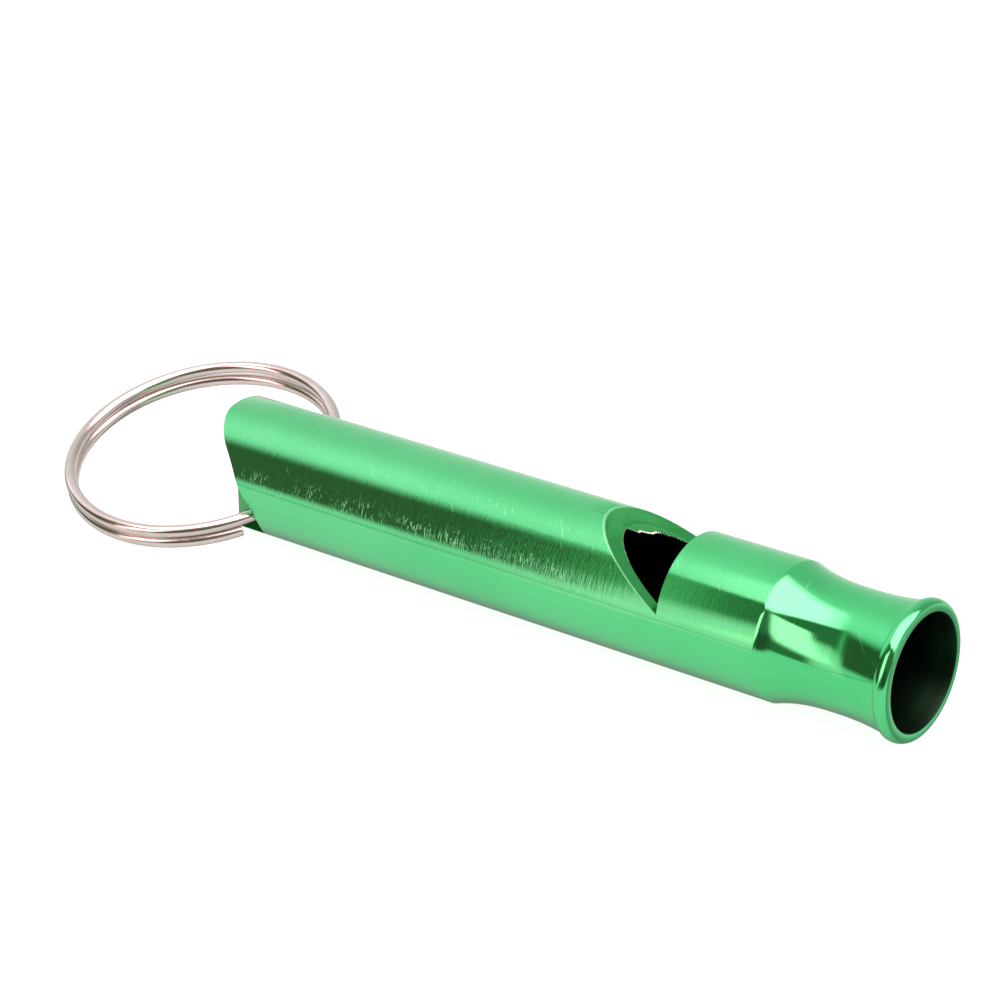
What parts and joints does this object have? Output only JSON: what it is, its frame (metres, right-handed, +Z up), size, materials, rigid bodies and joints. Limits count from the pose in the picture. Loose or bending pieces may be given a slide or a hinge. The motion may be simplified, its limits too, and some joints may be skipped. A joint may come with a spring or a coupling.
{
  "type": "signal whistle with split ring",
  "caption": "Short tubular metal signal whistle with a sloped sound window, a necked mouthpiece with a rolled lip, and a split key ring through its notched tail.",
  "frame": {"origin": "centre of the bounding box of the whistle with its ring lying out behind it", "axes": "+X along the tube from the tail to the mouth, +Z up through the sound window, +Y across to the back side"},
  "size_m": [0.061, 0.017, 0.008],
  "materials": {
    "anodised_body": "green anodised, satin gloss with fine turning scratches",
    "block": "bare turned aluminium",
    "ring": "bright nickel plate on spring steel wire"
  },
  "bodies": {
    "body": {"whistle_body": "anodised_body", "windway_block": "block"},
    "ring": {"split_ring": "ring"}
  },
  "joints": [
    {"name": "ring_swing", "type": "hinge", "parent": "body", "child": "ring", "pos_m": [-0.01355, -0.00065, -0.00075], "axis": [0, 1, 0], "range_deg": [0, 75]}
  ]
}
